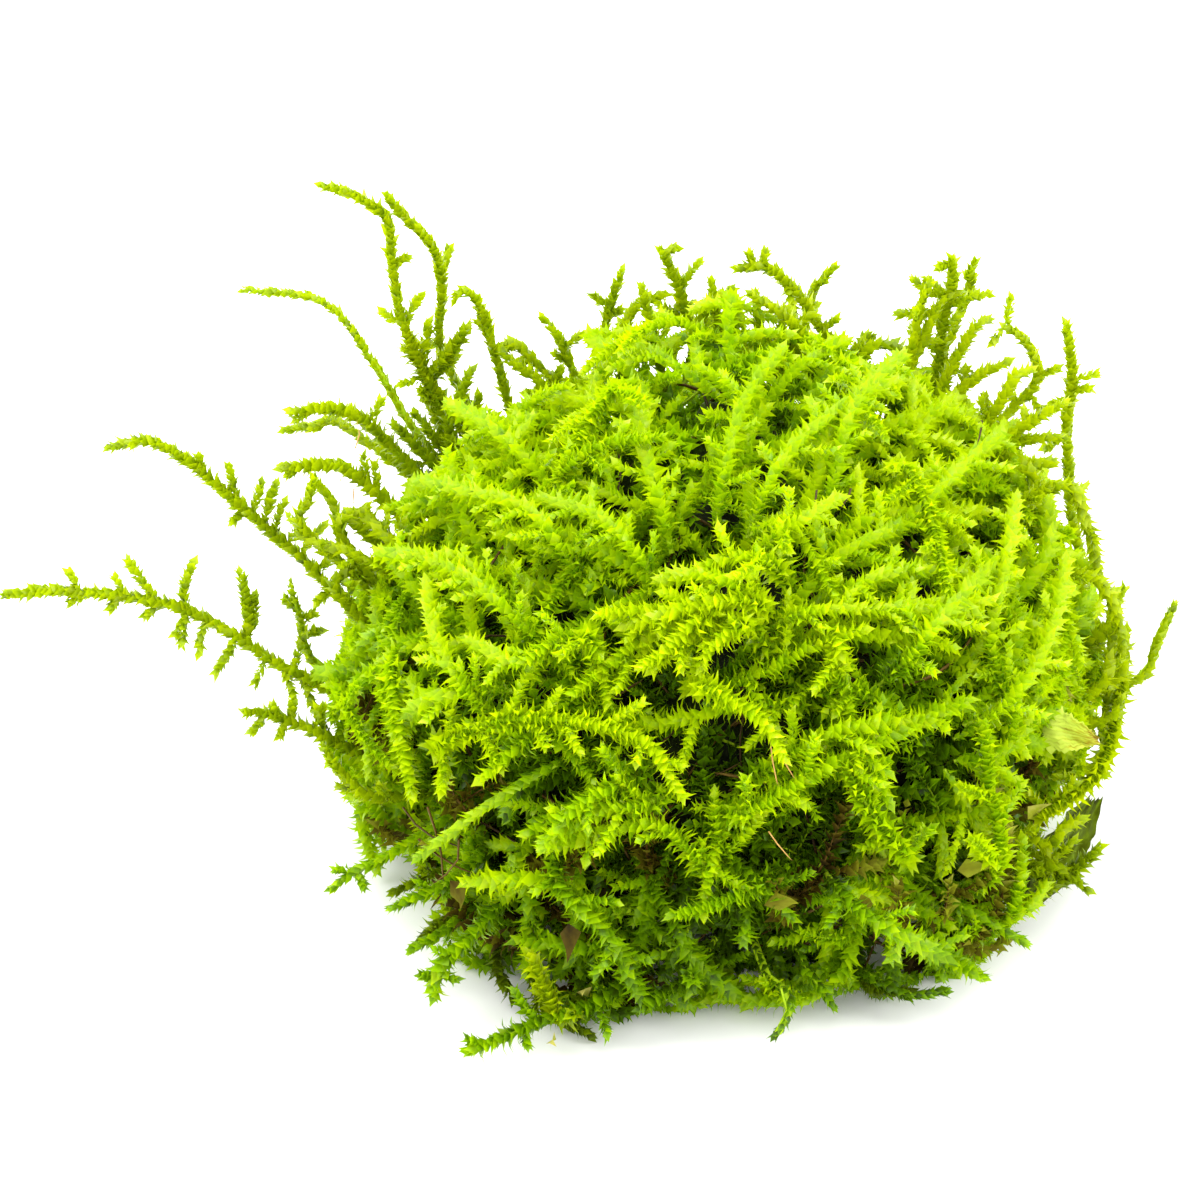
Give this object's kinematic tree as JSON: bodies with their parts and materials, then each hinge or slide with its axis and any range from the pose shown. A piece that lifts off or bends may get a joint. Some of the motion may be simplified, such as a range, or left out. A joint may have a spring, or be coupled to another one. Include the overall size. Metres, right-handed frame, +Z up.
{
  "type": "moss clump",
  "caption": "Loose domed clump of feather moss on its mat of old stems, with long leafy shoots reaching out.",
  "frame": {"origin": "on the ground under the middle of the cushion, at the centre of the old stem mat's flat underside", "axes": "+Z up; +X along the clump's longest extent, away from the long shoot that reaches out; -Y is the front"},
  "size_m": [0.076, 0.0528, 0.036],
  "materials": {
    "moss": "thin fresh leaves, bright yellow-green, damp and slightly glossy, lit through",
    "bare_shoot": "olive shoots with their leaves pressed close or gone",
    "old_stems": "matted dead brown stems and crumbs of leaf litter, matt",
    "dead_leaf": "thin papery dead leaf, tan to olive, part see-through"
  },
  "bodies": {
    "root": {"old_stem_mat": "old_stems", "moss_cushion": "moss", "shoot_left_long": "moss", "shoot_left_high": "moss", "shoot_left_short": "moss", "shoot_left_low": "moss", "shoot_left_low_fork": "moss", "shoot_left_forked": "moss", "shoot_left_forked_twig": "moss", "shoot_left_claw": "moss", "shoot_left_sprig": "moss", "shoot_back_whip": "bare_shoot", "shoot_back_tall": "moss", "shoot_back_tall_twin": "moss", "shoot_back_bent": "moss", "shoot_back_left_tip": "moss", "shoot_back_spur": "moss", "shoot_back_crook": "moss", "shoot_back_low_left": "moss", "shoot_back_low": "moss", "shoot_back_low_right": "moss", "shoot_back_creeper": "moss", "shoot_back_creeper_right": "moss", "shoot_back_plume": "moss", "shoot_back_plume_twig": "moss", "shoot_feather": "moss", "shoot_feather_twig": "moss", "shoot_right_arc": "moss", "shoot_right_tall": "moss", "shoot_right_bow": "moss", "shoot_right_spur": "moss", "shoot_right_back": "moss", "shoot_right_creeper": "moss", "shoot_front_left_spur": "moss", "shoot_front_left_tip": "moss", "shoot_front_left_drop": "moss", "shoot_front_left_foot": "moss", "shoot_front_creeper": "moss", "shoot_front_creeper_twig": "moss", "shoot_front_lobe": "moss", "shoot_front_hook": "bare_shoot", "shoot_front_stub": "moss", "shoot_front_wet": "moss", "shoot_front_right": "moss", "shoot_front_right_tip": "moss", "shoot_right_foot": "moss", "shoot_over_crown": "moss", "shoot_over_middle": "moss", "shoot_over_right": "moss", "shoot_over_arch": "moss", "shoot_over_droop": "moss", "shoot_over_low_left": "moss", "shoot_over_claw": "moss", "shoot_over_front": "moss", "shoot_over_slope": "moss", "shoot_over_top": "moss", "dead_leaf_rim": "dead_leaf", "dead_leaf_fan": "dead_leaf"}
  },
  "joints": []
}
